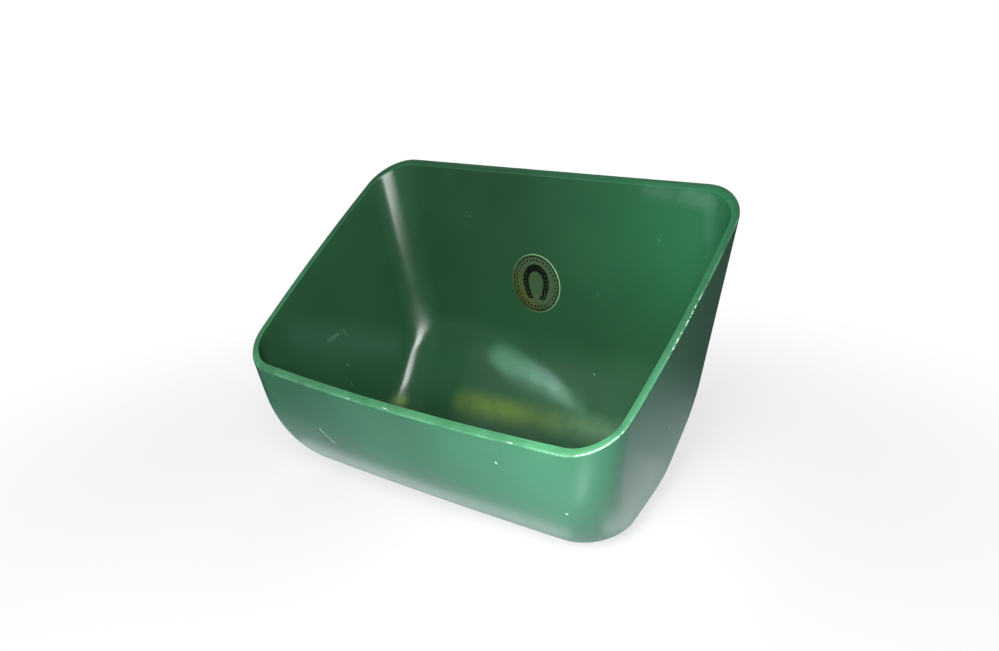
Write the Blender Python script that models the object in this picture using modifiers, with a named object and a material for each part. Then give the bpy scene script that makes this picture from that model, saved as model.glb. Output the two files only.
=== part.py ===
"""Feed trough: one moulded shell with a sloping open rim, and a round domed label inside.

Metres, +Z up. +X is to the right as seen from the front, and the flat back wall faces +Y.
The origin is at the bottom centre of the trough's box, on the plane that it stands on.
"""

from math import atan2, cos, pi, radians, sin, tan

import bmesh
import bpy
from mathutils import Vector

# Rim, measured on the outside
RIM_WIDTH = 0.360
RIM_LENGTH = 0.236
RIM_SLOPE = radians(36.6)
RIM_CORNER_RADIUS = 0.034
LOWER_CORNER_RADIUS = 0.030
SIDE_BOW = 0.0047
FRONT_BOW = 0.006
RIM_EDGE_ROUND = 0.0015

# Outside of the body, seen from the side
BACK_HEIGHT = 0.240
KNUCKLE_HEIGHT = 0.0865
LOWER_BACK_SLOPE = radians(55.5)
FRONT_WALL_LEAN = radians(6)
KNUCKLE_RADIUS = 0.056
HEEL_RADIUS = 0.012
TOE_RADIUS = 0.0785

# Walls
WALL = 0.006
SIDE_DRAFT = radians(15.5)
BOTTOM_EDGE_RADIUS = 0.028

# Label
LABEL_DIAMETER = 0.050
LABEL_FILM_THICKNESS = 0.0003
LABEL_DOME_RISE = 0.0014
LABEL_DOME_MARGIN = 0.0005
LABEL_OFF_CENTRE = -0.011
LABEL_ABOVE_KNUCKLE = 0.016
SEAT_GAP = 0.0003

# Fineness of the surfaces
RINGS = 28
RING_STEPS = {"back": 3, "corner": 8, "side": 6, "front": 4}
ARC_STEPS = 16
TURN_LENGTH = 0.040
LABEL_STEPS = 48
DOME_STEPS = 7

# The rim plane runs down from the back edge to the front edge.
RIM_DEPTH = RIM_LENGTH * cos(RIM_SLOPE)
RIM_DROP = RIM_LENGTH * sin(RIM_SLOPE)
FRONT_HEIGHT = BACK_HEIGHT - RIM_DROP
BACK_Y = (RIM_DEPTH + FRONT_BOW * cos(RIM_SLOPE)) / 2
RIM_UP = Vector((0, -sin(RIM_SLOPE), cos(RIM_SLOPE)))
TRIM_ALLOWANCE = 2 * WALL


def material(name, colour, roughness, metallic=0.0, alpha=1.0):
    """A Principled material with one colour."""
    made = bpy.data.materials.new(name)
    made.use_nodes = True
    made.diffuse_color = (*colour, alpha)
    shader = made.node_tree.nodes["Principled BSDF"]
    shader.inputs["Base Color"].default_value = (*colour, 1.0)
    shader.inputs["Roughness"].default_value = roughness
    shader.inputs["Metallic"].default_value = metallic
    shader.inputs["Alpha"].default_value = alpha
    return made


def add_object(name, mesh, collection, look=None):
    """A new object that holds the mesh, in the collection."""
    made = bpy.data.objects.new(name, mesh)
    if look:
        mesh.materials.append(look)
    collection.objects.link(made)
    return made


def arc_points(before, corner, after, radius, steps):
    """The rounding of a corner between two straight lines, as points from one tangent to the other."""
    to_before = (before - corner).normalized()
    to_after = (after - corner).normalized()
    half_angle = to_before.angle(to_after) / 2
    centre = corner + (to_before + to_after).normalized() * radius / sin(half_angle)
    start = corner + to_before * radius / tan(half_angle) - centre
    end = corner + to_after * radius / tan(half_angle) - centre
    first = atan2(start.y, start.x)
    turn = (atan2(end.y, end.x) - first + pi) % (2 * pi) - pi
    angles = [first + turn * i / steps for i in range(steps + 1)]
    return [centre + radius * Vector((cos(angle), sin(angle))) for angle in angles]


def rounded_corners(line, radii, steps):
    """The roundings of the line's inner corners.

    A radius that needs more than its straights have is made smaller, so that some straight is left.
    """
    corners = range(len(radii))
    reach = [radii[i] / tan((line[i] - line[i + 1]).angle(line[i + 2] - line[i + 1]) / 2) for i in corners]
    used = [before + after for before, after in zip([0.0, *reach], [*reach, 0.0])]
    room = [(end - start).length for start, end in zip(line, line[1:])]
    share = [min(1.0, 0.97 * there / need) for there, need in zip(room, used)]
    fitted = [radii[i] * min(share[i], share[i + 1]) for i in corners]
    return [arc_points(*line[i : i + 3], fitted[i], steps) for i in corners]


def side_profile():
    """The outline from the side as (y, z): down the back wall, and down the front wall, to the base."""
    back_top = Vector((BACK_Y, BACK_HEIGHT))
    knuckle = Vector((BACK_Y, KNUCKLE_HEIGHT))
    heel = Vector((BACK_Y - KNUCKLE_HEIGHT / tan(LOWER_BACK_SLOPE), 0))
    front_top = Vector((BACK_Y - RIM_DEPTH, FRONT_HEIGHT))
    toe = Vector((front_top.x + FRONT_HEIGHT * tan(FRONT_WALL_LEAN), 0))
    line = [back_top, knuckle, heel, toe, front_top]
    arcs = rounded_corners(line, [KNUCKLE_RADIUS, HEEL_RADIUS, TOE_RADIUS], ARC_STEPS)
    back = [back_top, *arcs[0], *arcs[1]]
    front = [front_top, *reversed(arcs[2])]
    return back, front, arcs[0][0].y


def stations(path, count):
    """Points along the path, closer together where it turns."""
    spent = [0.0]
    heading = path[1] - path[0]
    for start, end in zip(path, path[1:]):
        step = end - start
        spent.append(spent[-1] + step.length + TURN_LENGTH * step.angle(heading, 0.0))
        heading = step
    points = []
    for i in range(count):
        target = spent[-1] * i / (count - 1)
        at = max(k for k in range(len(path) - 1) if spent[k] <= target + 1e-12)
        share = (target - spent[at]) / (spent[at + 1] - spent[at])
        points.append(path[at].lerp(path[at + 1], min(share, 1.0)))
    return points


def half_width(point):
    """Half the width of the side walls at a point (y, z), drawn in by the draft below the rim plane."""
    above_rim = RIM_UP.dot(Vector((0, point.x - BACK_Y, point.y - BACK_HEIGHT)))
    return RIM_WIDTH / 2 + above_rim * tan(SIDE_DRAFT)


def bottom_inset(height):
    """How far the rounding between the side walls and the base draws the sides in."""
    radius = BOTTOM_EDGE_RADIUS
    below = max(radius - max(height, 0.0), 0.0)
    return radius - (radius * radius - below * below) ** 0.5


def half_ring(back, front, bow):
    """Half of a rounded rectangle, from the middle of its back edge to the middle of its front edge."""
    length = (front - back).length
    forward = (front - back).normalized()
    inset = bottom_inset((back.y + front.y) / 2)
    wide_back = half_width(back) - inset
    wide_front = half_width(front) - inset
    line = [Vector((0, 0)), Vector((wide_back, 0)), Vector((wide_front, length)), Vector((0, length))]
    radius = LOWER_CORNER_RADIUS + bow * (RIM_CORNER_RADIUS - LOWER_CORNER_RADIUS)
    at_back, at_front = rounded_corners(line, [radius] * 2, RING_STEPS["corner"])
    flat = [line[0].lerp(at_back[0], i / RING_STEPS["back"]) for i in range(RING_STEPS["back"])]
    flat += at_back
    flat += [at_back[-1].lerp(at_front[0], i / RING_STEPS["side"]) for i in range(1, RING_STEPS["side"])]
    flat += at_front
    flat += [at_front[-1].lerp(line[3], i / RING_STEPS["front"]) for i in range(1, RING_STEPS["front"] + 1)]
    ring = []
    for across, along in flat:
        width = wide_back + (wide_front - wide_back) * along / length
        to_side = min(across / width, 1.0)
        to_front = max(-1.0, min(2 * along / length - 1, 1.0))
        across += bow * SIDE_BOW * (1 - to_front**2) * to_side
        along += bow * FRONT_BOW * max(to_front, 0.0) * (1 - to_side**2)
        ring.append(Vector((across, *(back + forward * along))))
    return ring


def outer_skin(profile_back, profile_front):
    """The right half of the shell's outside, from a little above the rim plane down to the base."""
    backs = stations(profile_back, RINGS)
    fronts = stations(profile_front, RINGS)
    rise = TRIM_ALLOWANCE / cos(RIM_SLOPE)
    up_front = Vector((-sin(FRONT_WALL_LEAN), cos(FRONT_WALL_LEAN)))
    above_back = backs[0] + Vector((0, rise))
    above_front = fronts[0] + up_front * TRIM_ALLOWANCE / cos(RIM_SLOPE - FRONT_WALL_LEAN)
    backs[0] = above_back
    fronts[0] = above_front
    skin = bmesh.new()
    rings = []
    for i in range(RINGS):
        bow = 1 - i / (RINGS - 1)
        ring = half_ring(backs[i], fronts[i], bow)
        rings.append([skin.verts.new(point) for point in ring])
    for upper, lower in zip(rings, rings[1:]):
        for i in range(len(upper) - 1):
            skin.faces.new((upper[i], upper[i + 1], lower[i + 1], lower[i]))
    skin.faces.new(rings[-1])
    bmesh.ops.recalc_face_normals(skin, faces=skin.faces)
    if skin.faces[0].normal.y < 0:
        bmesh.ops.reverse_faces(skin, faces=skin.faces)
    mesh = bpy.data.meshes.new("trough_shell")
    skin.to_mesh(mesh)
    skin.free()
    mesh.shade_smooth()
    return mesh


def rim_trim(collection):
    """A block whose underside lies in the rim plane. It takes off what stands above the rim."""
    size = 2 * (RIM_WIDTH + RIM_LENGTH)
    middle = Vector((0, BACK_Y - RIM_DEPTH / 2, BACK_HEIGHT - RIM_DROP / 2))
    block = bmesh.new()
    bmesh.ops.create_cube(block, size=size)
    mesh = bpy.data.meshes.new("rim_trim")
    block.to_mesh(mesh)
    block.free()
    cutter = add_object("rim_trim", mesh, collection)
    cutter.location = middle + RIM_UP * size / 2
    cutter.rotation_euler = (RIM_SLOPE, 0, 0)
    cutter.hide_render = True
    cutter.display_type = "WIRE"
    return cutter


def trough_shell(profile_back, profile_front, parts, cutters):
    """The moulded shell: one skin, thickened inwards, cut level at the rim, with its edges rounded."""
    green = material("moulded_green", (0.035, 0.150, 0.070), 0.33)
    shell = add_object("trough_shell", outer_skin(profile_back, profile_front), parts, green)
    mirror = shell.modifiers.new("other half", "MIRROR")
    mirror.use_clip = True
    mirror.merge_threshold = 0.0001
    wall = shell.modifiers.new("wall", "SOLIDIFY")
    wall.thickness = WALL
    wall.offset = -1
    wall.use_even_offset = True
    wall.use_quality_normals = True
    trim = shell.modifiers.new("rim cut", "BOOLEAN")
    trim.operation = "DIFFERENCE"
    trim.object = rim_trim(cutters)
    edge = shell.modifiers.new("rim edges", "BEVEL")
    edge.width = RIM_EDGE_ROUND
    edge.segments = 2
    edge.limit_method = "ANGLE"
    edge.angle_limit = radians(40)
    return shell


def label_film(seat, parts):
    """The printed film, a thin disc on the inside of the back wall."""
    bpy.ops.mesh.primitive_cylinder_add(
        vertices=LABEL_STEPS, radius=LABEL_DIAMETER / 2, depth=LABEL_FILM_THICKNESS
    )
    film = bpy.context.object
    film.name = "label_film"
    film.rotation_euler = (pi / 2, 0, 0)
    film.location = seat - Vector((0, SEAT_GAP + LABEL_FILM_THICKNESS / 2, 0))
    film.data.materials.append(material("printed_film", (0.42, 0.52, 0.24), 0.45))
    for holder in list(film.users_collection):
        holder.objects.unlink(film)
    parts.objects.link(film)
    return film


def label_dome(seat, parts):
    """The clear resin on the film, turned from a quarter of an ellipse."""
    radius = LABEL_DIAMETER / 2 - LABEL_DOME_MARGIN
    angles = [pi / 2 * (1 - i / DOME_STEPS) for i in range(DOME_STEPS + 1)]
    profile = [(radius * cos(a), 0, LABEL_DOME_RISE * sin(a)) for a in angles]
    profile[0] = (0, 0, LABEL_DOME_RISE)
    profile.append((0, 0, 0))
    edges = [(i, i + 1) for i in range(len(profile) - 1)]
    mesh = bpy.data.meshes.new("label_dome")
    mesh.from_pydata(profile, edges, [])
    dome = add_object("label_dome", mesh, parts, material("clear_resin", (0.80, 0.86, 0.70), 0.08, alpha=0.35))
    dome.rotation_euler = (pi / 2, 0, 0)
    dome.location = seat - Vector((0, 2 * SEAT_GAP + LABEL_FILM_THICKNESS, 0))
    turn = dome.modifiers.new("turn", "SCREW")
    turn.steps = LABEL_STEPS
    turn.render_steps = LABEL_STEPS
    turn.use_merge_vertices = True
    turn.merge_threshold = 0.00001
    turn.use_smooth_shade = True
    return dome


def main():
    for old in list(bpy.data.objects):
        bpy.data.objects.remove(old, do_unlink=True)
    parts = bpy.data.collections.new("feed_trough")
    cutters = bpy.data.collections.new("cutters")
    for collection in (parts, cutters):
        bpy.context.scene.collection.children.link(collection)
    back, front, knuckle_start = side_profile()
    trough_shell(back, front, parts, cutters)
    label_z = knuckle_start + LABEL_ABOVE_KNUCKLE + LABEL_DIAMETER / 2
    seat = Vector((LABEL_OFF_CENTRE, BACK_Y - WALL, label_z))
    label_film(seat, parts)
    label_dome(seat, parts)


main()
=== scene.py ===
"""Feed trough: a thick green moulding with a sloping open rim, and a round domed label inside."""

import math

import bmesh
import bpy
from mathutils import Matrix, Vector


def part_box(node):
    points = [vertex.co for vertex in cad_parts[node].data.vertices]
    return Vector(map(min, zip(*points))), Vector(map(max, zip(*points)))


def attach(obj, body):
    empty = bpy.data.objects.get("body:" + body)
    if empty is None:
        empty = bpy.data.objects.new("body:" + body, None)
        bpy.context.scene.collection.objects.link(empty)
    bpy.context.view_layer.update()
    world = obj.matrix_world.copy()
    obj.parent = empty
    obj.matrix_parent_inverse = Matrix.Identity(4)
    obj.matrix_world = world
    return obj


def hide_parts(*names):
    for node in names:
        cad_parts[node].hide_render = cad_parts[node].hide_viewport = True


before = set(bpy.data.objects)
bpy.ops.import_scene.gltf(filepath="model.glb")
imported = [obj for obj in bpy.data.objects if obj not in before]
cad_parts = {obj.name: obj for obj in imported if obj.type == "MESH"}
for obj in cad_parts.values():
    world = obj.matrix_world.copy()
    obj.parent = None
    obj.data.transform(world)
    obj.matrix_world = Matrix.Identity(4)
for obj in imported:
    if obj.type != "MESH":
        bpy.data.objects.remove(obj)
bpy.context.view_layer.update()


# --- The moulded shell -------------------------------------------------------
# One thick injection moulding of green polyethylene: flat back wall, sloping rim, drafted sides and
# a rounded bottom. The mould is polished inside and etched outside, and the rim's edges are worn.

WALL = 0.006
RIM_WIDTH = 0.360
RIM_LENGTH = 0.236
RIM_SLOPE = math.radians(36.6)
RIM_CORNER = 0.034
LOWER_CORNER = 0.030
SIDE_BOW = 0.0047
FRONT_BOW = 0.006
BACK_HEIGHT = 0.240
KNUCKLE_HEIGHT = 0.0865
KNUCKLE_ROUND = 0.056
HEEL_ROUND = 0.012
TOE_ROUND = 0.0785
LOWER_BACK_SLOPE = math.radians(55.5)
FRONT_LEAN = math.radians(6)
SIDE_DRAFT = math.radians(15.5)
BOTTOM_EDGE = 0.028
RIM_EDGE_ROUND = 0.0019
RIM_EDGE_STEPS = 4
INNER_EDGE_SHARE = 0.6
BACK_Y = (RIM_LENGTH + FRONT_BOW) * math.cos(RIM_SLOPE) / 2
RIM_UP = Vector((0, -math.sin(RIM_SLOPE), math.cos(RIM_SLOPE)))
RIM_BACK = Vector((0, BACK_Y, BACK_HEIGHT))

LEVELS = 64  # rings from the rim down to the base
HALF_RING = {"back": 8, "corner": 14, "side": 14, "front": 10}  # steps of half a ring
PROFILE_ARC_STEPS = 24
INNER_TOP_ROWS = 7  # rows in which the inside's rings turn level with the outside's
TURN_LENGTH = 0.04  # the length of path that one radian of turning counts as
STRAIGHT_SHARE = 0.97  # the most of a straight that its two roundings take


def corner_arc(before, corner, after, radius, steps):
    """Points of the rounding between two straight lines, both tangent points included."""
    one = (before - corner).normalized()
    two = (after - corner).normalized()
    half = one.angle(two) / 2
    centre = corner + (one + two).normalized() * radius / math.sin(half)
    start = corner + one * radius / math.tan(half) - centre
    end = corner + two * radius / math.tan(half) - centre
    first = math.atan2(start.y, start.x)
    turn = (math.atan2(end.y, end.x) - first + math.pi) % math.tau - math.pi
    angles = [first + turn * i / steps for i in range(steps + 1)]
    return [centre + radius * Vector((math.cos(a), math.sin(a))) for a in angles]


def rounded(line, radii, steps):
    """The roundings of the line's corners, each made smaller where its straights are too short."""
    corners = zip(line, line[1:], line[2:])
    halves = [(a - b).angle(c - b) / 2 for a, b, c in corners]
    reach = [radius / math.tan(half) for radius, half in zip(radii, halves)]
    used = [a + b for a, b in zip([0.0, *reach], [*reach, 0.0])]
    lengths = [(b - a).length for a, b in zip(line, line[1:])]
    share = [min(1.0, STRAIGHT_SHARE * length / need) for length, need in zip(lengths, used)]
    fitted = [radii[i] * min(share[i], share[i + 1]) for i in range(len(radii))]
    return [corner_arc(*line[i : i + 3], fitted[i], steps) for i in range(len(radii))]


def along(path, count):
    """Points along the path, closer together where it turns."""
    spent, heading = [0.0], path[1] - path[0]
    for a, b in zip(path, path[1:]):
        spent.append(spent[-1] + (b - a).length + TURN_LENGTH * (b - a).angle(heading, 0.0))
        heading = b - a
    points = []
    for i in range(count):
        want = spent[-1] * i / (count - 1)
        k = max(j for j in range(len(path) - 1) if spent[j] <= want + 1e-12)
        share = min((want - spent[k]) / (spent[k + 1] - spent[k]), 1.0)
        points.append(path[k].lerp(path[k + 1], share))
    return points


def half_width(point):
    """Half the outside's width where the (y, z) point is: the sides draw in below the rim plane."""
    return RIM_WIDTH / 2 + RIM_UP.dot(Vector((0, *point)) - RIM_BACK) * math.tan(SIDE_DRAFT)


def shell_ring(back, front, bow):
    """One ring of the outside, in the plane through its (y, z) points at the back and front.

    bow is 1 at the rim, where its bowed sides and large corners count in full, and 0 at the base.
    """
    length = (front - back).length
    forward = (front - back).normalized()
    below = max(BOTTOM_EDGE - max((back.y + front.y) / 2, 0.0), 0.0)
    inset = BOTTOM_EDGE - math.sqrt(BOTTOM_EDGE**2 - below**2)
    wide_back = half_width(back) - inset
    wide_front = half_width(front) - inset
    line = [
        Vector((0, 0)),
        Vector((wide_back, 0)),
        Vector((wide_front, length)),
        Vector((0, length)),
    ]
    radius = LOWER_CORNER + bow * (RIM_CORNER - LOWER_CORNER)
    at_back, at_front = rounded(line, [radius] * 2, HALF_RING["corner"])
    steps = HALF_RING["back"]
    flat = [line[0].lerp(at_back[0], i / steps) for i in range(steps)] + at_back
    steps = HALF_RING["side"]
    flat += [at_back[-1].lerp(at_front[0], i / steps) for i in range(1, steps)] + at_front
    steps = HALF_RING["front"]
    flat += [at_front[-1].lerp(line[3], i / steps) for i in range(1, steps + 1)]
    half = []
    for x, s in flat:
        to_side = min(x / (wide_back + (wide_front - wide_back) * s / length), 1.0)
        to_front = max(-1.0, min(2 * s / length - 1, 1.0))
        x += bow * SIDE_BOW * (1 - to_front**2) * to_side
        s += bow * FRONT_BOW * max(to_front, 0.0) * (1 - to_side**2)
        half.append(Vector((x, *(back + forward * s))))
    return half + [Vector((-p.x, p.y, p.z)) for p in reversed(half[1:-1])]


def shell_levels():
    """The outside of the shell as rings, from just above the rim plane down to the base."""
    back_top = Vector((BACK_Y, BACK_HEIGHT))
    knuckle = Vector((BACK_Y, KNUCKLE_HEIGHT))
    heel = Vector((BACK_Y - KNUCKLE_HEIGHT / math.tan(LOWER_BACK_SLOPE), 0))
    front_top = back_top - Vector((math.cos(RIM_SLOPE), math.sin(RIM_SLOPE))) * RIM_LENGTH
    toe = Vector((front_top.x + front_top.y * math.tan(FRONT_LEAN), 0))
    line = [back_top, knuckle, heel, toe, front_top]
    arcs = rounded(line, [KNUCKLE_ROUND, HEEL_ROUND, TOE_ROUND], PROFILE_ARC_STEPS)
    knuckle_arc, heel_arc, toe_arc = arcs
    backs = along([back_top, *knuckle_arc, *heel_arc], LEVELS)
    fronts = along([front_top, *reversed(toe_arc)], LEVELS)
    rise = 2 * WALL
    above_back = back_top + Vector((0, rise / math.cos(RIM_SLOPE)))
    lean = Vector((-math.sin(FRONT_LEAN), math.cos(FRONT_LEAN)))
    above_front = front_top + lean * rise / math.cos(RIM_SLOPE - FRONT_LEAN)
    levels = [shell_ring(above_back, above_front, 1.0)]
    for i, (back, front) in enumerate(zip(backs, fronts)):
        levels.append(shell_ring(back, front, 1 - i / (LEVELS - 1)))
    return levels


def outward_normals(levels):
    """The normal at each point of the rings, pointing out of the plastic."""
    normals = []
    for i, level in enumerate(levels):
        upper = levels[max(i - 1, 0)]
        lower = levels[min(i + 1, len(levels) - 1)]
        row = []
        for j in range(len(level)):
            around = level[(j + 1) % len(level)] - level[j - 1]
            row.append(around.cross(lower[j] - upper[j]).normalized())
        normals.append(row)
    return normals


def inner_column(column):
    """The inside's points in one column: from the rim plane down, then level with the outside's."""
    rows = INNER_TOP_ROWS
    heights = [(p - RIM_BACK).dot(RIM_UP) for p in column]
    above = max(i for i, h in enumerate(heights) if h > 0)
    start = above + heights[above] / (heights[above] - heights[above + 1])
    places = [start + (rows - start) * i / (rows - 1) for i in range(rows - 1)]
    top = [column[int(s)].lerp(column[int(s) + 1], s % 1) for s in places]
    return top + list(column[rows:])


def build_shell():
    """One closed mesh of the outside, the inside and the rim, with the rim's edges marked."""
    levels = shell_levels()
    normals = outward_normals(levels)
    inner = [[p - n * WALL for p, n in zip(level, row)] for level, row in zip(levels, normals)]
    inner[-1] = [p + Vector((0, 0, WALL)) for p in levels[-1]]
    shell = bmesh.new()
    weight = shell.edges.layers.float.new("bevel_weight_edge")
    outer = shell.verts.layers.float.new("outside")
    rim = shell.verts.layers.float.new("rim")
    outside = [[shell.verts.new(p) for p in column[1:]] for column in zip(*levels)]
    inside = [[shell.verts.new(p) for p in inner_column(column)] for column in zip(*inner)]
    for j in range(len(outside)):
        out_a, out_b, in_a, in_b = outside[j - 1], outside[j], inside[j - 1], inside[j]
        for i in range(len(out_a) - 1):
            shell.faces.new((out_a[i], out_b[i], out_b[i + 1], out_a[i + 1]))
            shell.faces.new((in_a[i], in_a[i + 1], in_b[i + 1], in_b[i]))
        shell.faces.new((out_a[0], in_a[0], in_b[0], out_b[0]))
        shell.edges.get((out_a[0], out_b[0]))[weight] = 1.0
        shell.edges.get((in_a[0], in_b[0]))[weight] = INNER_EDGE_SHARE
        out_b[0][rim] = in_b[0][rim] = 1.0
        for point in out_b:
            point[outer] = 1.0

    # The flat base, under and inside
    shell.faces.new([column[-1] for column in outside])
    shell.faces.new([column[-1] for column in reversed(inside)])
    bmesh.ops.recalc_face_normals(shell, faces=shell.faces)
    mesh = bpy.data.meshes.new("moulded_shell")
    shell.to_mesh(mesh)
    shell.free()
    mesh.shade_smooth()
    return mesh


class Value:
    """A socket in a material. Sums written with it add Math nodes, and add() makes other nodes."""

    def __init__(self, tree, socket=None):
        self.tree = tree
        self.socket = socket

    def add(self, kind, settings, sockets, output=0):
        """A new node: its settings first, then the values or links of its sockets."""
        node = self.tree.nodes.new("ShaderNode" + kind)
        for name, setting in settings.items():
            setattr(node, name, setting)
        for name, value in sockets.items():
            if isinstance(value, Value):
                self.tree.links.new(value.socket, node.inputs[name])
            else:
                node.inputs[name].default_value = value
        return Value(self.tree, node.outputs[output] if node.outputs else None)

    def math(self, operation, *others):
        return self.add("Math", {"operation": operation}, dict(enumerate((self, *others))))

    def __add__(self, other):
        return self.math("ADD", other)

    def __sub__(self, other):
        return self.math("SUBTRACT", other)

    def __rsub__(self, other):
        return self.math("MULTIPLY", -1).math("ADD", other)

    def __mul__(self, other):
        return self.math("MULTIPLY", other)

    def __truediv__(self, other):
        return self.math("DIVIDE", other)

    def __pow__(self, other):
        return self.math("POWER", other)

    __radd__ = __add__
    __rmul__ = __mul__

    def vector(self, operation, *others, output=0):
        sockets = dict(enumerate((self, *others)))
        return self.add("VectorMath", {"operation": operation}, sockets, output)

    def axis(self, name):
        return self.add("SeparateXYZ", {}, {"Vector": self}, name)

    def between(self, low, high):
        """0 up to low, 1 from high on, and a smooth step between them."""
        sockets = {"Value": self, "From Min": low, "From Max": high}
        return self.add("MapRange", {"interpolation_type": "SMOOTHSTEP"}, sockets)

    def noise(self, scale, detail, roughness=0.55):
        sockets = {"Vector": self, "Scale": scale, "Detail": detail, "Roughness": roughness}
        return self.add("TexNoise", {}, sockets)

    def mix(self, colour, other):
        """From colour to other as this value goes from 0 to 1, on the Mix node's colour sockets."""
        return self.add("Mix", {"data_type": "RGBA"}, {0: self, 6: colour, 7: other}, 2)

    def relief(self):
        """The surface's normals, raised by this height in metres."""
        return self.add("Bump", {}, {"Strength": 1.0, "Distance": 1.0, "Height": self})


def new_finish(name):
    """An empty material, the start of its nodes, and the piece's own coordinates in metres."""
    finish = bpy.data.materials.new(name)
    finish.use_nodes = True
    finish.node_tree.nodes.clear()
    start = Value(finish.node_tree)
    return finish, start, start.add("TexCoord", {}, {}, "Object")


def finish_with(start, sockets):
    """The shader with these sockets, as the material's surface."""
    shader = start.add("BsdfPrincipled", {}, sockets)
    start.add("OutputMaterial", {}, {"Surface": shader})


def new_piece(name, mesh, finish):
    """An object in the scene with this mesh and finish."""
    piece = bpy.data.objects.new(name, mesh)
    bpy.context.collection.objects.link(piece)
    piece.data.materials.append(finish)
    return piece


def blot(place, centre, size):
    """1 at the centre, fading to 0 where the size ends along each axis."""
    reach = place.vector("SUBTRACT", centre).vector("DIVIDE", size).vector("LENGTH", output=1)
    return 1 - reach.between(0.0, 1.0)


def stroke(place, start, end, width):
    """1 on the line from start to end, fading to 0 at the width's distance from it."""
    line = Vector(end) - Vector(start)
    from_start = place.vector("SUBTRACT", start)
    share = from_start.vector("DOT_PRODUCT", line / line.length_squared, output=1)
    held = share.add("Clamp", {}, {"Value": share})
    off_line = from_start.vector("SUBTRACT", held.vector("MULTIPLY", line))
    return 1 - off_line.vector("LENGTH", output=1).between(0.0, width)


# The inside's green is painted darker, as shade in the hollow, and the outside's paler, as lit
SHADED_INSIDE_GREEN = (0.0165, 0.068, 0.029, 1)
LIT_OUTSIDE_GREEN = (0.030, 0.134, 0.073, 1)
RIM_GREEN = (0.022, 0.100, 0.045, 1)
RUBBED_GREEN = (0.12, 0.32, 0.20, 1)
# Dust on the outside, and painted sheen on the inside
DUST_AND_SHEEN_GREEN = (0.08, 0.20, 0.14, 1)
# Painted light: the rim land's paler front
LIT_RIM_GREEN = (0.085, 0.32, 0.15, 1)
LIT_INSIDE_GREEN = (0.022, 0.17, 0.07, 1)
# Pale nicks, and a painted highlight on the rim's front right corner
NICK_AND_GLINT_GREEN = (0.62, 0.76, 0.68, 1)
# Painted light along the inside floor: an olive glow, paling to a painted sheen
OLIVE_GLOW_GREEN = (0.15, 0.24, 0.025, 1)
PALE_SHEEN_GREEN = (0.19, 0.36, 0.20, 1)
BLACK = (0.0, 0.0, 0.0, 1)

# Marks along a line: its two ends, and how far off it the mark has faded out
SCUFFS = [
    ((-0.1630, -0.0097, 0.0965), (-0.1618, 0.0005, 0.0995), 0.0024),
    ((-0.1617, 0.0035, 0.1035), (-0.1608, 0.0042, 0.0995), 0.0012),
    ((-0.1612, 0.0068, 0.1025), (-0.1602, 0.0078, 0.0975), 0.0012),
    ((-0.1606, 0.0095, 0.1000), (-0.1598, 0.0102, 0.0965), 0.0010),
    ((-0.1600, 0.0180, 0.1015), (-0.1598, 0.0210, 0.1020), 0.0010),
    ((-0.1550, 0.0025, 0.0735), (-0.1543, 0.0030, 0.0700), 0.0012),
    ((-0.1508, 0.0015, 0.0565), (-0.1503, 0.0018, 0.0535), 0.0010),
    ((-0.1605, -0.0060, 0.0800), (-0.1590, 0.0060, 0.0810), 0.0030),
    ((-0.0815, 0.0911, 0.1955), (-0.0803, 0.0911, 0.1948), 0.0010),
    ((0.0505, 0.0911, 0.1440), (0.0512, 0.0911, 0.1430), 0.0010),
    ((0.1067, 0.0911, 0.1952), (0.1076, 0.0911, 0.1942), 0.0012),
    ((0.0500, 0.0842, 0.0790), (0.0512, 0.0840, 0.0778), 0.0014),
]
NICKS = [
    ((-0.0872, -0.0909, 0.0602), (-0.0742, -0.0881, 0.0505), 0.0007),
    ((0.0935, -0.0937, 0.0796), (0.0940, -0.0936, 0.0790), 0.0011),
    ((0.1442, -0.0847, 0.0530), (0.1446, -0.0845, 0.0526), 0.0010),
    ((0.1607, 0.0170, 0.0818), (0.1609, 0.0174, 0.0812), 0.0012),
    ((-0.0480, -0.0962, 0.0965), (-0.0440, -0.0962, 0.0963), 0.0006),
    ((-0.0090, -0.0958, 0.0970), (-0.0050, -0.0958, 0.0968), 0.0006),
    ((0.1055, -0.0947, 0.0975), (0.1090, -0.0946, 0.0975), 0.0006),
]
# Painted sheen: bands by the rim's inner edge at the back right, and along the left wall
SHEEN_BY_RIM = [
    ((0.0975, 0.0911, 0.2319), (0.1437, 0.0911, 0.2290), 0.011),
    ((0.1331, 0.0911, 0.2281), (0.1488, 0.0907, 0.2266), 0.011),
    ((0.1506, 0.0903, 0.2261), (0.1490, 0.0895, 0.2026), 0.009),
]
SHEEN_ON_SIDE = ((-0.1698, -0.0341, 0.1060), (-0.1480, 0.0490, 0.0780), 0.026)
# Painted glow and sheen along the inside floor
GLOW_AND_SHEEN_LINE = ((-0.070, 0.0560, 0.0380), (0.094, 0.0600, 0.0425), 0.018)

# Patches: the middle, and how far off it the patch has faded out along each axis
# Painted glow on the inside floor
GLOW_PATCH = ((-0.034, 0.0565, 0.0385), (0.052, 0.020, 0.015))
GLOW_SPOT = ((-0.133, 0.0414, 0.0306), (0.011, 0.013, 0.009))
LIT_PATCH = ((0.165, 0.080, 0.200), (0.200, 0.120, 0.120))
DULL_KNUCKLE = ((-0.1400, 0.0825, 0.0965), (0.024, 0.024, 0.022))
RAGGED_SIDE_EDGE = ((0.1840, -0.0040, 0.1645), (0.012, 0.045, 0.040))
# Ragged nicks and a painted highlight on the rim's front right corner
RAGGED_GLINT_CORNER_EDGE = ((0.1560, -0.0760, 0.1070), (0.045, 0.030, 0.030))

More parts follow.
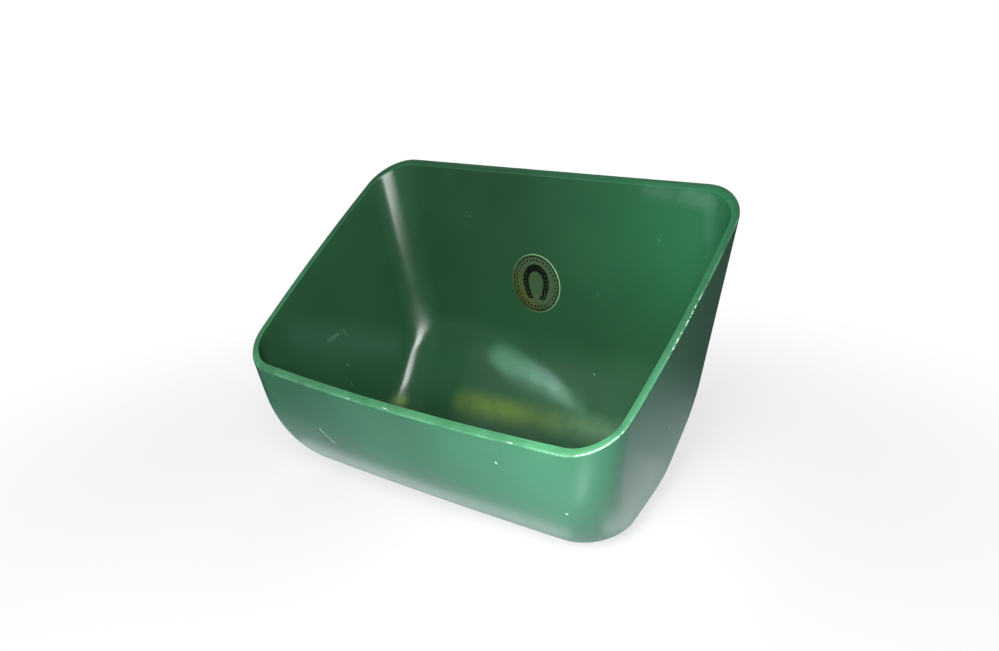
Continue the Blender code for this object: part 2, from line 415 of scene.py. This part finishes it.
plastic, start, place = new_finish("moulded polyethylene")
outside = start.add("Attribute", {"attribute_name": "outside"}, {}, "Fac")
rim = start.add("Attribute", {"attribute_name": "rim"}, {}, "Fac")
broad = place.noise(9.0, 2.0)
cloud = place.noise(55.0, 4.0, 0.6)
speckle = place.noise(420.0, 2.0)
grain = place.noise(1300.0, 2.0)
etched = outside.between(0.4, 0.6)
polished = 1 - etched
land = rim.between(0.80, 0.95)
rim_edge = outside * rim

# The plastic, a little uneven: painted darker inside than outside, as shade in the hollow
green = etched.mix(SHADED_INSIDE_GREEN, LIT_OUTSIDE_GREEN)
green = land.mix(green, RIM_GREEN)
green = (broad.between(0.35, 0.65) * 0.18).mix(green, BLACK)
handled = etched * (broad.between(0.40, 0.70) * 0.5 + cloud.between(0.40, 0.70) * 0.5)
green = (handled * 0.10).mix(green, DUST_AND_SHEEN_GREEN)
# Painted light: a brighter green patch at the upper right of the inside
lit_patch = blot(place, *LIT_PATCH) * polished * 0.6
green = lit_patch.mix(green, LIT_INSIDE_GREEN)

# Scuffs on the inside, painted sheen by the rim and on the left wall, and a painted olive glow
# along the floor
scuffed = sum(stroke(place, *mark) for mark in SCUFFS)
scuffed = (scuffed * speckle.between(0.30, 0.55)).math("MINIMUM", 1.0)
green = (scuffed * 0.30).mix(green, RUBBED_GREEN)

# Painted sheen by the rim's inner edge and on the left wall
painted_sheen = sum(stroke(place, *mark) for mark in SHEEN_BY_RIM)
painted_sheen = painted_sheen * (0.4 + cloud.between(0.30, 0.70) * 0.6)
painted_sheen = (painted_sheen + stroke(place, *SHEEN_ON_SIDE) * 0.40) * polished
green = (painted_sheen * 0.30).math("MINIMUM", 0.45).mix(green, DUST_AND_SHEEN_GREEN)

# Painted light: an olive glow along the inside floor, as of light through the wall, paling to a
# painted sheen at its right end
glow_and_sheen = stroke(place, *GLOW_AND_SHEEN_LINE) * 0.25
glow_and_sheen = glow_and_sheen + blot(place, *GLOW_PATCH) * 0.26 + blot(place, *GLOW_SPOT) * 0.50
glow_and_sheen = glow_and_sheen * polished * (0.6 + cloud.between(0.30, 0.65) * 0.4)
glow_and_sheen_colour = place.axis("X").between(0.0, 0.085).mix(OLIVE_GLOW_GREEN, PALE_SHEEN_GREEN)
green = glow_and_sheen.mix(green, glow_and_sheen_colour)

# Painted light on the rim land, paler towards the front; wear on the rim's outer edge; and nicks in
# the outside and in the rim's right edge, with a painted highlight at the front right corner
lit_rim = land * (1 - place.axis("Y").between(-0.09, 0.07))
green = (lit_rim * (0.30 + cloud.between(0.35, 0.65) * 0.20)).mix(green, LIT_RIM_GREEN)
rubbed = rim_edge.between(0.60, 1.0) * cloud.between(0.38, 0.62)
green = (rubbed * 0.45).mix(green, RUBBED_GREEN)

# Ragged nicks on the rim's outer edge at the right side, and at the front right corner ragged nicks
# with a painted highlight
ragged_and_glint = blot(place, *RAGGED_SIDE_EDGE) + blot(place, *RAGGED_GLINT_CORNER_EDGE) * 0.6
ragged_and_glint = ragged_and_glint * rim_edge.between(0.80, 1.0) * speckle.between(0.50, 0.60)
nicks_and_glint = sum(stroke(place, *mark) for mark in NICKS) + ragged_and_glint * 3.0
nicks_and_glint = nicks_and_glint.math("MINIMUM", 1.0)
green = (nicks_and_glint * 0.85).mix(green, NICK_AND_GLINT_GREEN)

dulled = blot(place, *DULL_KNUCKLE) * polished
roughness = 0.18 + cloud * 0.05 + etched * 0.20 + dulled * 0.20
roughness = roughness + scuffed * 0.12 + painted_sheen * 0.15 + glow_and_sheen * 0.10 + nicks_and_glint * 0.3
height = broad * 0.00030 + cloud * 0.00003 + speckle * 0.000006 - scuffed * 0.00004
height = height + etched * grain * 0.000008
finish_with(
    start,
    {
        "Base Color": green,
        "Roughness": roughness,
        "Specular IOR Level": 0.40,
        "Normal": height.relief(),
    },
)

shell = new_piece("moulded_shell", build_shell(), plastic)
edges = shell.modifiers.new("rim edges", "BEVEL")
edges.limit_method = "WEIGHT"
edges.width = RIM_EDGE_ROUND
edges.segments = RIM_EDGE_STEPS
shell.modifiers.new("face normals", "WEIGHTED_NORMAL").keep_sharp = True
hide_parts("trough_shell")
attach(shell, "root")


# --- The printed film --------------------------------------------------------
# A round self-adhesive film stuck on the inside of the back wall. It is pale yellow-green with a
# thin border, a dotted ring and a horseshoe printed in dark ink, and its edge is cut clean.

film_low, film_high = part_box("label_film")
FILM_CENTRE = (film_low + film_high) / 2
FILM_RADIUS = (film_high.x - film_low.x) / 2
FILM_CUT_EDGE = 0.0001
DISC_STEPS = 96


def turned_disc(name, profile):
    """A closed round piece: the profile's (radius, depth in y) points turned about its axis."""
    middle_x, _, middle_z = FILM_CENTRE
    turns = [math.tau * i / DISC_STEPS for i in range(DISC_STEPS)]
    disc = bmesh.new()
    rings = []
    for radius, depth in profile:
        if radius == 0:
            rings.append([disc.verts.new((middle_x, depth, middle_z))] * DISC_STEPS)
            continue
        ring = []
        for turn in turns:
            x = middle_x + radius * math.cos(turn)
            z = middle_z + radius * math.sin(turn)
            ring.append(disc.verts.new((x, depth, z)))
        rings.append(ring)
    for near, far in zip(rings, rings[1:]):
        for i in range(DISC_STEPS):
            corners = [near[i - 1], near[i], far[i], far[i - 1]]
            disc.faces.new(list(dict.fromkeys(corners)))
    bmesh.ops.recalc_face_normals(disc, faces=disc.faces)
    mesh = bpy.data.meshes.new(name)
    disc.to_mesh(mesh)
    disc.free()
    mesh.shade_smooth()
    return mesh


FILM_COLOUR = (0.16, 0.33, 0.15, 1)
FILM_YELLOW = (0.30, 0.38, 0.08, 1)
PRINT_INK = (0.004, 0.007, 0.004, 1)

# The print's sizes are shares of the film's radius
BORDER_CIRCLE = 0.915
BEAD_CIRCLE = 0.80
BEAD_TURN = math.tau / 36
BEND_HEIGHT = 0.06
IRON_CIRCLE = 0.42
NAIL_CIRCLE = 0.43
NAIL_TURN = math.tau / 22
NAIL_SPACING = 0.12

printed, start, place = new_finish("printed label film")
flat = place.vector("SUBTRACT", FILM_CENTRE).vector("DIVIDE", (FILM_RADIUS,) * 3)
across = flat.axis("X")
height = flat.axis("Z")
out = (across**2 + height**2).math("SQRT")
border = 1 - (out - BORDER_CIRCLE).math("ABSOLUTE").between(0.016, 0.026)
bead_turn = (height.math("ARCTAN2", across) / BEAD_TURN).math("FRACT") - 0.5
bead_gap = (bead_turn * (BEAD_TURN * BEAD_CIRCLE)) ** 2 + (out - BEAD_CIRCLE) ** 2
beads = 1 - bead_gap.math("SQRT").between(0.030, 0.042)

# The horseshoe: a bend above, legs that draw in below, cut level at their ends, with nail holes
from_bend = height - BEND_HEIGHT
below = from_bend.math("MINIMUM", 0.0)
above = from_bend.math("MAXIMUM", 0.0)
side = across.math("ABSOLUTE") + below**2 * 0.55
iron = (side**2 + above**2 * 0.80).math("SQRT")
horseshoe = 1 - (iron - IRON_CIRCLE).math("ABSOLUTE").between(0.105, 0.120)
horseshoe = horseshoe * height.between(-0.56, -0.53)
nail_turn = ((above + below + 0.10).math("ARCTAN2", across) / NAIL_TURN).math("FRACT") - 0.5
nail_gap = ((nail_turn * NAIL_SPACING) ** 2 + (iron - NAIL_CIRCLE) ** 2).math("SQRT")
nails = (1 - nail_gap.between(0.017, 0.028)) * (1 - height.between(0.28, 0.36))

ink = (border + beads + horseshoe * (1 - nails)).math("MINIMUM", 1.0)
fibre = place.noise(260.0, 3.0)
ink = ink * fibre.between(0.22, 0.34)
yellowed = (1 - (across + height * 0.8).between(-1.1, -0.1)) * 0.8
colour = yellowed.mix(FILM_COLOUR, FILM_YELLOW)
finish_with(
    start,
    {
        "Base Color": ink.mix(colour, PRINT_INK),
        "Roughness": 0.35 + ink * 0.15,
        "Specular IOR Level": 0.2,
        "Normal": (fibre * 0.00001 + ink * 0.000015).relief(),
    },
)

back, front = film_high.y, film_low.y
film_profile = [
    (0, back),
    (FILM_RADIUS - FILM_CUT_EDGE, back),
    (FILM_RADIUS, back - FILM_CUT_EDGE),
    (FILM_RADIUS, front + FILM_CUT_EDGE),
    (FILM_RADIUS - FILM_CUT_EDGE, front),
    (FILM_RADIUS * 0.5, front),
    (0, front),
]
film = new_piece("printed_film", turned_disc("printed_film", film_profile), printed)
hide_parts("label_film")
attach(film, "root")


# --- The resin dome ----------------------------------------------------------
# Clear resin poured on the film, which sets as a low lens with a full, rounded edge. It is glossy
# and a little yellowed, with a few specks of dust set in it.

dome_low, dome_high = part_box("label_dome")
DOME_RADIUS = (dome_high.x - dome_low.x) / 2
DOME_FOOT = 0.0002
DOME_FULLNESS = 0.62
DOME_RINGS = 14
RESIN = (0.004, 0.008, 0.003, 1)
SPECK_COLOUR = (0.7, 0.75, 0.7, 1)

resin, start, place = new_finish("clear doming resin")
steep = start.add("LayerWeight", {}, {"Blend": 0.35}, "Facing")
specks = place.noise(900.0, 2.0).between(0.68, 0.74)
ripple = place.noise(120.0, 2.0)
finish_with(
    start,
    {
        "Base Color": specks.mix(RESIN, SPECK_COLOUR),
        "Roughness": 0.05 + specks * 0.3,
        "Coat Weight": 1.0,
        "Coat Roughness": 0.03,
        "Specular IOR Level": 0.6,
        "Alpha": 0.32 + steep**3 * 0.40 + specks * 0.25,
        "Normal": (ripple * 0.00002).relief(),
    },
)

back = dome_high.y
rise = dome_high.y - dome_low.y
dome_profile = [(0, back), (DOME_RADIUS - DOME_FOOT, back), (DOME_RADIUS, back - DOME_FOOT)]
for i in range(1, DOME_RINGS + 1):
    turn = i / DOME_RINGS * math.pi / 2
    radius = DOME_RADIUS * math.cos(turn) ** DOME_FULLNESS if i < DOME_RINGS else 0
    dome_profile.append((radius, back - DOME_FOOT - (rise - DOME_FOOT) * math.sin(turn)))
dome = new_piece("resin_dome", turned_disc("resin_dome", dome_profile), resin)
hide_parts("label_dome")
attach(dome, "root")


# --- The studio --------------------------------------------------------------
# A plain pale floor in a white surround. Two soft window lamps stand beside the camera, weaker ones
# to the left and behind, and small strips lie low by the trough, like light off a white table.

FLOOR_REACH = 3
FLOOR_DROP = 0.0003
FLOOR_GREY = (0.75, 0.75, 0.75, 1)
WHITE = (1, 1, 1, 1)
TABLE_WHITE = (0.92, 1.0, 1.10, 1)
DIM_ROOM = (0.10, 0.10, 0.10, 1)


def seen_by(start):
    """1 for rays straight from the camera, and 1 for rays mirrored by a piece or through it."""
    direct = start.add("LightPath", {}, {}, "Is Camera Ray")
    glossy = start.add("LightPath", {}, {}, "Is Glossy Ray")
    return direct, glossy + start.add("LightPath", {}, {}, "Is Transmission Ray")


# Mirrored in the plastic, the floor is white near the trough and a dim room further off.
pale, start, place = new_finish("pale floor")
direct, mirrored = seen_by(start)
distance = place.vector("LENGTH", output=1)
reflection = distance.between(0.20, 0.33).mix(TABLE_WHITE, DIM_ROOM)
glow = mirrored.mix(WHITE, reflection)
matt = start.add("BsdfDiffuse", {}, {"Color": FLOOR_GREY})
white = start.add("Emission", {}, {"Color": glow, "Strength": 1.0})
share = direct * (0.7 + distance.between(0.20, 0.60) * 0.3) + mirrored
upper = start.add("MixShader", {}, {0: share, 1: matt, 2: white})
under = start.add("NewGeometry", {}, {}, "Backfacing")
clear = start.add("BsdfTransparent", {}, {})
surface = start.add("MixShader", {}, {0: under, 1: upper, 2: clear})
start.add("OutputMaterial", {}, {"Surface": surface})

far = FLOOR_REACH
corners = [(-far, -far), (far, -far), (far, far), (-far, far)]
ground = bpy.data.meshes.new("floor")
ground.from_pydata([(x, y, -FLOOR_DROP) for x, y in corners], [], [(0, 1, 2, 3)])
floor = new_piece("floor", ground, pale)

world = bpy.data.worlds.new("soft surround")
world.use_nodes = True
world.node_tree.nodes.clear()
bpy.context.scene.world = world
start = Value(world.node_tree)
direct, mirrored = seen_by(start)
strength = 0.12 + direct * 0.88 + mirrored * 0.05
light = start.add("Background", {}, {"Color": WHITE, "Strength": strength})
start.add("OutputWorld", {}, {"Surface": light})


def lamp(name, place, target, size, power, long_way=(1, 0, 0), spread=180, tint=(1, 1, 1)):
    """A soft rectangular lamp at the place, facing the target, its first side along long_way.

    The power is in watts, and the spread in degrees: at 180 it shines all round its front.
    """
    light = bpy.data.lights.new(name, "AREA")
    light.shape = "RECTANGLE"
    light.size, light.size_y = size
    light.energy = power
    light.spread = math.radians(spread)
    light.color = tint
    fitting = bpy.data.objects.new(name, light)
    fitting.location = place
    back = (Vector(place) - Vector(target)).normalized()
    up = back.cross(long_way).normalized()
    fitting.rotation_mode = "QUATERNION"
    fitting.rotation_quaternion = Matrix((up.cross(back), up, back)).transposed().to_quaternion()
    fitting.visible_camera = False
    bpy.context.collection.objects.link(fitting)


CAMERA_PLACE = Vector((0.51234, -0.58045, 0.37577))
CAMERA_RIGHT = Vector((0.7729, 0.6330, -0.0440))
CAMERA_UP = Vector((-0.15697, 0.25799, 0.95331))
CAMERA_BACK = Vector((0.61485, -0.72987, 0.29876))
GLINT = (-0.003, 0.076, 0.066)
GLINT_WAY = (0.083, -0.012, -0.020)
COOL = (0.80, 1.0, 0.98)

lamp("front lamp", (0.26, -0.36, 0.20), (0.13, -0.09, 0.06), (0.12, 0.12), 0.135, spread=45)
lamp("window lamp", (0.47, -0.65, 0.68), (-0.14, 0.08, 0.07), (0.42, 0.38), 10.0, CAMERA_RIGHT)
lamp("low window lamp", (0.34, -0.65, 0.37), (-0.16, 0.08, 0.20), (0.50, 0.12), 3.6, CAMERA_RIGHT)
lamp("far left lamp", (-0.70, -0.64, 0.74), (0.0, 0.076, 0.066), (0.35, 0.35), 0.2)
lamp("left lamp", (-0.228, -0.160, 0.446), GLINT, (0.085, 0.002), 0.0148, GLINT_WAY, 3.4, COOL)
lamp("strip lamp", (-0.02, -0.075, 0.0), (-0.02, -0.085, 0.20), (0.30, 0.03), 0.034)
lamp("side strip lamp", (0.160, 0.030, 0.0), (0.165, 0.030, 0.20), (0.02, 0.14), 0.012)
lamp("corner lamp", (0.185, -0.135, 0.002), (0.158, -0.086, 0.076), (0.02, 0.02), 0.03)
lamp("back lamp", (-0.55, 0.85, 0.30), (0.0, 0.05, 0.10), (0.40, 0.30), 4.0)

lens = bpy.data.cameras.new("camera")
lens.sensor_width = 36
lens.lens = 38.04
lens.clip_start = 0.01
camera = bpy.data.objects.new("camera", lens)
camera.location = CAMERA_PLACE
camera.rotation_mode = "QUATERNION"
turned = Matrix((CAMERA_RIGHT, CAMERA_UP, CAMERA_BACK)).transposed()
camera.rotation_quaternion = turned.to_quaternion()
bpy.context.collection.objects.link(camera)
bpy.context.scene.camera = camera
bpy.context.scene.view_settings.view_transform = "Standard"
